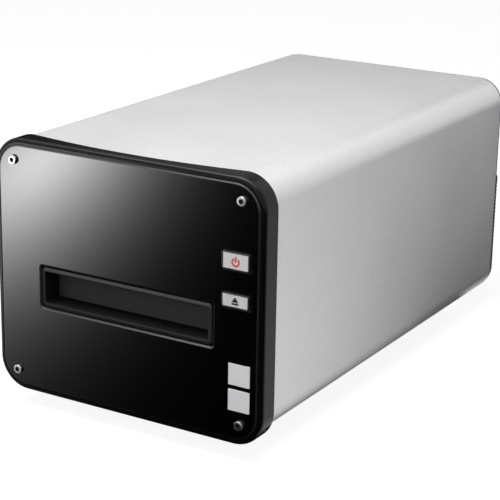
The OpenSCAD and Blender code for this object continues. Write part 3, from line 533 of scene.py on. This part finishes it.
def make_sleeve():
    """Aluminium sleeve, open at both ends."""
    w, h, r, middle = SLEEVE
    front, back = SLEEVE_Y
    shape = Shape(bow, BOW_STEPS)
    profile = [(0, front), (0, back), (SLEEVE_WALL, back), (SLEEVE_WALL, front)]
    shape.loft(w, h, r, soften(profile, SLEEVE_EDGE, closed=True), middle, closed=True)
    shape.piece("sleeve_shell", "case", "sleeve_aluminium", "housing_sleeve")


def make_plate():
    """Gloss face plate whose bevels round its edge and its cut-outs get a lighter satin copy of its
    black: partly satin finish, partly painted highlight.
    """
    w, h, r = PLATE
    inset, depth = PLATE_BEVEL
    lap, hole_lap, screw_bevel, satin_highlight_from = 1, 0.3, 0.2, 0.02
    shape = Shape()
    profile = [(inset + lap, 0), (inset, 0), (0, depth), (0, PLATE_T), (lap, PLATE_T)]
    rings = shape.loft(w, h, r, soften(profile, PLATE_EDGE))
    front, back = [rings[0]], [rings[-1]]
    holes = [(FRAME[0] + 2 * GROOVE, FRAME[1] + 2 * GROOVE, GROOVE_R, SLOT_MIDDLE, GROOVE_BEVEL)]
    holes += [(*button_outline(n, BUTTON_GAP), BUTTON_BEVEL) for n in ("power_button", "eject_button")]
    for hw, hh, hr, middle, bevel in holes:
        hole = [(-bevel - hole_lap, 0), (-bevel, 0), (0, bevel), (0, PLATE_T), (-hole_lap, PLATE_T)]
        rings = shape.loft(hw, hh, hr, soften(hole, HOLE_EDGE), middle)
        front.append(rings[0])
        back.append(rings[-1])
    for middle in SCREWS:
        profile = [(HOLE_R + screw_bevel, 0), (HOLE_R, screw_bevel), (HOLE_R, PLATE_T)]
        rings = shape.lathe(profile, middle)
        front.append(rings[0])
        back.append(rings[-1])
    shape.flat(*front)
    shape.flat(*back)
    # the bevels get the lighter satin copy: painted highlight along the edges
    shape.paint(satin_highlight_from, GROOVE_BEVEL + HOLE_EDGE)
    shape.piece("gloss_plate", "case", "plate_gloss", "face_plate", second="plate_edge_painted_highlight")


def front_round(steps=12):
    """Profile of the bezel's rounded front edge, from its rim to its side."""
    turns = [math.pi / 2 * i / steps for i in range(steps + 1)]
    return [(FRONT_R * (1 - math.sin(a)), RIM_BACK + FRONT_R * (1 - math.cos(a))) for a in turns]


def make_bezel():
    """Bezel ring with the wall behind the face plate, the spigot inside the sleeve and screw bosses."""
    w, h, r = BEZEL
    seam, lap, straight = SLEEVE_Y[0], 1, 0.3
    shape = Shape(bow, BOW_STEPS)
    outer = [
        (RIM_W + lap, PLATE_T), (RIM_W, PLATE_T), (RIM_W, RIM_BACK), *front_round(),
        (0, seam - straight), (0, seam), (lap, seam),
    ]
    rings = shape.loft(w, h, r, outer)
    spigot = [(-lap, seam), (0, seam), (0, SPIGOT_END), (SPIGOT_T, SPIGOT_END), (SPIGOT_T, WEB_BACK)]
    inner = shape.loft(*SPIGOT[:3], soften(spigot, SPIGOT_EDGE), SPIGOT[3])
    shape.join(rings[-1], inner[0])
    front, back = [rings[0]], [inner[-1]]
    holes = [(FRAME[0] + 2 * FRAME_GAP, FRAME[1] + 2 * FRAME_GAP, FRAME[2] + FRAME_GAP, SLOT_MIDDLE)]
    holes += [button_outline(n, BUTTON_GAP) for n in ("power_button", "eject_button")]
    for hw, hh, hr, middle in holes:
        rings = shape.loft(hw, hh, hr, [(0, PLATE_T), (0, WEB_BACK)], middle)
        front.append(rings[0])
        back.append(rings[-1])
    boss = [(HOLE_R, PLATE_T), (HOLE_R, SPIGOT_END), (BOSS_R, SPIGOT_END), (BOSS_R, WEB_BACK)]
    for middle in SCREWS:
        rings = shape.lathe(boss, middle)
        front.append(rings[0])
        back.append(rings[-1])
    shape.flat(*front)
    shape.flat(*back)
    shape.piece("bezel_shell", "case", "bezel_black", "front_bezel")


def make_face_screws():
    """Button heads with a hex socket painted dark as painted shade, on plain shanks."""
    proud, head_r, ring_r, dome = 2, 3.2, 2.2, 0.8
    shank_r, shank_end = 1.5, 31.6
    socket_r, socket_bevel, socket_floor = 1.75, 0.1, -0.7
    tip_r, tip = 0.3, -0.3
    for i, middle in enumerate(SCREWS):
        shape = Shape()
        head = [(ring_r, -proud), (head_r, -proud), (head_r, 0), (shank_r, 0)]
        rings = shape.lathe(soften(head, dome, steps=5), middle)
        shank = shape.lathe([(shank_r, 0), (shank_r, shank_end)], middle)
        shape.flat(shank[-1])
        socket = [
            shape.ring(hexagon(socket_r + socket_bevel, middle), -proud),
            shape.ring(hexagon(socket_r, middle), socket_bevel - proud),
            shape.ring(hexagon(socket_r, middle), socket_floor),
            shape.ring(circle(tip_r, middle), tip),
        ]
        shape.join(rings[0], socket[0])
        # the socket's walls and floor get the darkened steel: painted shade in the recess
        shape.finish = 1
        shape.skin(socket)
        shape.flat(socket[-1])
        name, node = f"face_bolt_{i + 1}", f"face_screw_{i + 1}"
        shape.piece(name, "case", "screw_steel", node, second="socket_painted_shade")


def block(shape, low, high):
    """Closed box from corner to corner."""
    (x0, y0, z0), (x1, y1, z1) = low, high
    shape.slab(rectangle(x0, z0, x1, z1), y0, y1)


def make_slot_frame():
    """Slot surround: chamfered rim and a throat painted dark as painted shade, flange behind the wall,
    cheeks for the door, also in painted shade.
    """
    w, h, r = FRAME
    chamfer_w, chamfer_d = FRAME_CHAMFER
    rim_edge, throat_bevel = 0.15, 0.5
    low, high = face_box("slot_frame")
    cheek_low = SLOT_MIDDLE[1] - h / 2
    slot_floor = SLOT_MIDDLE[1] - SLOT[1] / 2
    shape = Shape()
    rim = soften([(chamfer_w, 0), (0, chamfer_d), (0, THROAT_END)], rim_edge)
    outer = shape.loft(w, h, r, rim, SLOT_MIDDLE)
    # the throat's walls get painted shade
    shape.finish = 1
    throat = [(-throat_bevel, 0), (0, throat_bevel), (0, THROAT_END)]
    inner = shape.loft(*SLOT, throat, SLOT_MIDDLE)
    shape.finish = 0
    shape.flat(outer[0], inner[0])
    shape.flat(outer[-1], inner[-1])
    flange = rectangle(low[0], low[2], high[0], FLANGE_TOP)
    hole = outline(w, h, r, SLOT_MIDDLE)
    rings = [shape.ring(points, y) for points in (flange, hole) for y in (WEB_BACK, WEB_BACK + FLANGE_T)]
    shape.join(rings[0], rings[1])
    shape.join(rings[2], rings[3])
    shape.flat(rings[0], rings[2])
    shape.flat(rings[1], rings[3])
    # the cheeks behind the throat get painted shade too
    shape.finish = 1
    for side in (-1, 1):
        x0, x1 = sorted((side * SLOT[0] / 2, side * w / 2))
        block(shape, (x0, THROAT_END, cheek_low), (x1, high[1], high[2]))
    block(shape, (-SLOT[0] / 2, THROAT_END, cheek_low), (SLOT[0] / 2, high[1], slot_floor))
    shape.piece("slot_surround", "case", "slot_grey", "slot_frame", second="slot_painted_shade")


def make_badges():
    """Bare foil plates with rounded corners."""
    lap, corner_r, edge_r = 1, 0.5, 0.1
    for node in ("badge_upper", "badge_lower"):
        low, high = face_box(node)
        w, h = high[0] - low[0], high[2] - low[2]
        middle = middle_of(low, high)
        shape = Shape()
        profile = soften([(lap, low[1]), (0, low[1]), (0, high[1])], edge_r)
        rings = shape.loft(w, h, corner_r, profile, middle)
        shape.flat(rings[0])
        shape.flat(rings[-1])
        shape.piece(node.replace("badge", "foil"), "case", "badge_silver", node)


make_sleeve()
make_plate()
make_bezel()
make_face_screws()
make_slot_frame()
make_badges()

# ------------------------------------------------------------------ buttons

MARK_T = 0.06


def make_cap(node, body):
    """Button cap with a pocket for its label, a lip behind the bezel's wall and a stem."""
    low, high = face_box(node.replace("button", "label"))
    w, h, r, middle = button_outline(node, 0)
    front, floor, end = low[1], high[1], face_box(node)[1][1]
    lip, lip_y, lip_t, stem_r = 1, WEB_BACK + 0.2, 1.6, 1.5
    lap, edge_r, pocket_r, pocket_bevel = 0.6, 0.35, 0.3, 0.1
    shape = Shape()
    label_w, label_h = high[0] - low[0], high[2] - low[2]
    pocket = [(0, floor), (0, front + pocket_bevel), (-pocket_bevel, front)]
    rings = [
        shape.ring(outline(label_w - 2 * i, label_h - 2 * i, pocket_r - i, middle), y) for i, y in pocket
    ]
    shape.flat(rings[0])
    side = [(lap, front), (0, front), (0, lip_y), (-lip, lip_y), (-lip, lip_y + lip_t)]
    side = soften(side, edge_r, steps=4)
    rings += [shape.ring(outline(w - 2 * i, h - 2 * i, r - i, middle), y) for i, y in side]
    shape.skin(rings)
    stem = shape.lathe([(stem_r, lip_y + lip_t), (stem_r, end)], middle)
    shape.flat(rings[-1], stem[0])
    shape.flat(stem[-1])
    shape.piece(node + "_cap", body, "button_black", node)


def make_label(node, body):
    """Foil label with rounded corners, sunk in its button cap; returns where its mark goes."""
    lap, corner_r, edge_r = 1, 0.25, 0.08
    low, high = face_box(node)
    middle = middle_of(low, high)
    shape = Shape()
    profile = soften([(lap, low[1]), (0, low[1]), (0, high[1])], edge_r)
    rings = shape.loft(high[0] - low[0], high[2] - low[2], corner_r, profile, middle)
    shape.flat(rings[0])
    shape.flat(rings[-1])
    shape.piece(node + "_foil", body, "label_silver", node)
    return middle, low[1]


def make_marks():
    """Open ring with a bar on the power button, triangle over a bar on the eject button."""
    (x, z), y = make_label("power_label", "power_key")
    outer, inner, gap, drop = 3.0, 1.95, math.radians(34), 0.5
    span = 2 * math.pi - 2 * gap
    turns = [math.pi / 2 + gap + span * i / ROUND_STEPS for i in range(ROUND_STEPS + 1)]
    points = [(x + outer * math.cos(a), z - drop + outer * math.sin(a)) for a in turns]
    points += [(x + inner * math.cos(a), z - drop + inner * math.sin(a)) for a in reversed(turns)]
    shape = Shape()
    shape.slab(points, y - MARK_T, y)
    half, low, high = 0.55, -0.6, 3.1
    shape.slab(rectangle(x - half, z + low, x + half, z + high), y - MARK_T, y)
    piece = shape.piece("power_mark", "power_key", "label_silver")
    piece.data.materials[0] = material("mark_red")
    (x, z), y = make_label("eject_label", "eject_key")
    half, top, base, bar_top, bar_low = 2.5, 2.75, -0.8, -1.35, -2.45
    shape = Shape()
    shape.slab([(x - half, z + base), (x + half, z + base), (x, z + top)], y - MARK_T, y)
    shape.slab(rectangle(x - half, z + bar_low, x + half, z + bar_top), y - MARK_T, y)
    piece = shape.piece("eject_mark", "eject_key", "label_silver")
    piece.data.materials[0] = material("mark_black")


make_cap("power_button", "power_key")
make_cap("eject_button", "eject_key")
make_marks()

# ------------------------------------------------------------------ stage

AMBIENT = 0.15
FLOOR_COLOUR = 0.32
FLOOR_GLOW = 0.9
STRIP_LEVEL = 14.7
SIDE_CARD_LEVELS = (1.2, 0.0)
BACK_CARD_LEVELS = (0.0, 0.3)
FRONT_PIECES = ["gloss_plate", "bezel_shell", "foil_upper", "foil_lower"]
for button in ("power", "eject"):
    FRONT_PIECES += [f"{button}_button_cap", f"{button}_label_foil", f"{button}_mark"]
FRONT_PIECES += [f"face_bolt_{i}" for i in range(1, 5)]
# Lamps: place, aim, width and height in metres, and power in watts.
LAMPS = {
    "key": ((-0.3, -0.35, 1.05), (0, 0, 0.1), (0.6, 0.6), 7.5),
    "top": ((0.1, -0.2, 0.6), (0.05, -0.1, 0.15), (0.4, 0.4), 2.2),
    "fill": ((-0.3, -1.3, 0.8), (0, 0, 0.1), (0.8, 0.8), 3),
}


def sees_background(tree):
    """1 for camera, glossy and transmission rays, which meet the white background."""
    path = tree.nodes.new("ShaderNodeLightPath")
    value = path.outputs["Is Camera Ray"]
    for name in ("Is Glossy Ray", "Is Transmission Ray"):
        either = tree.nodes.new("ShaderNodeMath")
        either.operation = "MAXIMUM"
        tree.links.new(value, either.inputs[0])
        tree.links.new(path.outputs[name], either.inputs[1])
        value = either.outputs["Value"]
    return value


def make_world():
    """White for camera, glossy and transmission rays, and a soft light for the others."""
    world = bpy.data.worlds.new("studio")
    world.use_nodes = True
    tree = world.node_tree
    soft = tree.nodes["Background"]
    soft.inputs["Color"].default_value = (1, 1, 1, 1)
    soft.inputs["Strength"].default_value = AMBIENT
    white = tree.nodes.new("ShaderNodeBackground")
    white.inputs["Color"].default_value = (1, 1, 1, 1)
    mix = tree.nodes.new("ShaderNodeMixShader")
    tree.links.new(sees_background(tree), mix.inputs["Fac"])
    tree.links.new(soft.outputs["Background"], mix.inputs[1])
    tree.links.new(white.outputs["Background"], mix.inputs[2])
    tree.links.new(mix.outputs["Shader"], tree.nodes["World Output"].inputs["Surface"])
    bpy.context.scene.world = world


def make_floor():
    """Pale floor that looks white and keeps the scanner's shadow."""
    half = 6
    corners = [(x, y, 0) for x, y in rectangle(-half, -half, half, half)]
    mesh = bpy.data.meshes.new("floor")
    mesh.from_pydata(corners, [], [(0, 1, 2, 3)])
    floor = bpy.data.objects.new("floor", mesh)
    bpy.context.scene.collection.objects.link(floor)
    made = bpy.data.materials.new("floor_white")
    made.use_nodes = True
    tree = made.node_tree
    tree.nodes.remove(tree.nodes["Principled BSDF"])
    matt = tree.nodes.new("ShaderNodeBsdfDiffuse")
    matt.inputs["Color"].default_value = (FLOOR_COLOUR,) * 3 + (1,)
    glow = tree.nodes.new("ShaderNodeEmission")
    level = tree.nodes.new("ShaderNodeMath")
    level.operation = "MULTIPLY"
    level.inputs[1].default_value = FLOOR_GLOW
    tree.links.new(sees_background(tree), level.inputs[0])
    tree.links.new(level.outputs["Value"], glow.inputs["Strength"])
    both = tree.nodes.new("ShaderNodeAddShader")
    tree.links.new(matt.outputs["BSDF"], both.inputs[0])
    tree.links.new(glow.outputs["Emission"], both.inputs[1])
    tree.links.new(both.outputs["Shader"], tree.nodes["Material Output"].inputs["Surface"])
    mesh.materials.append(made)


def make_card(name, corners):
    """Flat studio card that only reflections show; returns it with its node tree and emission."""
    mesh = bpy.data.meshes.new(name)
    mesh.from_pydata(corners, [], [(0, 1, 2, 3)])
    card = bpy.data.objects.new(name, mesh)
    bpy.context.scene.collection.objects.link(card)
    for ray in ("camera", "diffuse", "transmission", "volume_scatter", "shadow"):
        setattr(card, "visible_" + ray, False)
    made = bpy.data.materials.new(name)
    made.use_nodes = True
    tree = made.node_tree
    tree.nodes.remove(tree.nodes["Principled BSDF"])
    glow = tree.nodes.new("ShaderNodeEmission")
    tree.links.new(glow.outputs["Emission"], tree.nodes["Material Output"].inputs["Surface"])
    mesh.materials.append(made)
    return card, tree, glow


def calculate(tree, operation, *values):
    """Math node; a value is a number or a socket."""
    node = tree.nodes.new("ShaderNodeMath")
    node.operation = operation
    for socket, value in zip(node.inputs, values):
        if isinstance(value, (int, float)):
            socket.default_value = value
        else:
            tree.links.new(value, socket)
    return node.outputs["Value"]


def card_space(tree, middle, turn, size):
    """Card coordinates around middle, turned, and 1 at size."""
    coords = tree.nodes.new("ShaderNodeTexCoord")
    mapping = tree.nodes.new("ShaderNodeMapping")
    mapping.vector_type = "TEXTURE"
    mapping.inputs["Location"].default_value = middle
    mapping.inputs["Rotation"].default_value = (0, 0, turn)
    mapping.inputs["Scale"].default_value = size
    tree.links.new(coords.outputs["Object"], mapping.inputs["Vector"])
    return mapping.outputs["Vector"]


def floor_corners(x0, y0, x1, y1, z):
    """Corners of a card that lies at a height z."""
    return [(x, y, z) for x, y in rectangle(x0, y0, x1, y1)]


def make_front_card():
    """Dark card before the scanner with a bright strip, mirrored in the face plate."""
    card, tree, glow = make_card("front_card", floor_corners(-1.6, -1.9, 1.6, -0.15, 0.002))
    middle, turn, size, steepness = (-0.489, -0.72, 0), -0.48, (0.086, 0.355, 1), 1.7
    length = tree.nodes.new("ShaderNodeVectorMath")
    length.operation = "LENGTH"
    tree.links.new(card_space(tree, middle, turn, size), length.inputs[0])
    fall = calculate(tree, "POWER", length.outputs["Value"], steepness)
    level = calculate(tree, "EXPONENT", calculate(tree, "MULTIPLY", fall, -1))
    tree.links.new(calculate(tree, "MULTIPLY", level, STRIP_LEVEL), glow.inputs["Strength"])
    lit = bpy.data.collections.new("front_card_lights")
    for name in FRONT_PIECES:
        lit.objects.link(bpy.data.objects[name])
    card.light_linking.receiver_collection = lit


def fade_card(name, corners, middle, turn, length, levels):
    """Card that fades along its turned y axis over a length from middle."""
    tree, glow = make_card(name, corners)[1:]
    split = tree.nodes.new("ShaderNodeSeparateXYZ")
    tree.links.new(card_space(tree, middle, turn, (1, length, 1)), split.inputs[0])
    fade = tree.nodes.new("ShaderNodeMapRange")
    fade.inputs["To Min"].default_value, fade.inputs["To Max"].default_value = levels
    tree.links.new(split.outputs["Y"], fade.inputs["Value"])
    tree.links.new(fade.outputs["Result"], glow.inputs["Strength"])


def make_fade_cards():
    """Card on the floor at the right, dark at the rear, and one far behind, dark at the left."""
    right = floor_corners(0.106, -0.19, 1.8, 1.8, 0.003)
    fade_card("side_card", right, (0.101, -0.23, 0), math.radians(59), 0.17, SIDE_CARD_LEVELS)
    back_y = 1.2
    behind = [(x, back_y, z) for x, z in rectangle(-2.2, 0.02, 0.1, 1.5)]
    fade_card("back_card", behind, (-1.2, back_y, 0), math.radians(-90), 0.6, BACK_CARD_LEVELS)


def make_under_shade_card():
    """Black card under the case, mirrored in the sleeve's lower corners: painted shade standing for the
    shade beneath the case.
    """
    # a black sheet seen only in reflections: painted shade under the case
    glow = make_card("under_shade_card", floor_corners(-0.1, -0.15, 0.1055, 0.17, 0.0025))[2]
    glow.inputs["Strength"].default_value = 0


def make_lamp(name, where, aim, size, power):
    """Area lamp that the camera doesn't see."""
    data = bpy.data.lights.new(name, "AREA")
    data.shape = "RECTANGLE"
    data.size, data.size_y = size
    data.energy = power
    lamp = bpy.data.objects.new(name, data)
    bpy.context.scene.collection.objects.link(lamp)
    lamp.location = where
    lamp.rotation_mode = "QUATERNION"
    lamp.rotation_quaternion = (Vector(aim) - Vector(where)).to_track_quat("-Z", "Y")
    lamp.visible_camera = False


make_world()
make_floor()
make_front_card()
make_fade_cards()
make_under_shade_card()
for lamp_name, lamp_values in LAMPS.items():
    make_lamp(lamp_name, *lamp_values)
bpy.data.objects["fill"].visible_glossy = False

bpy.context.scene.view_settings.view_transform = "Standard"
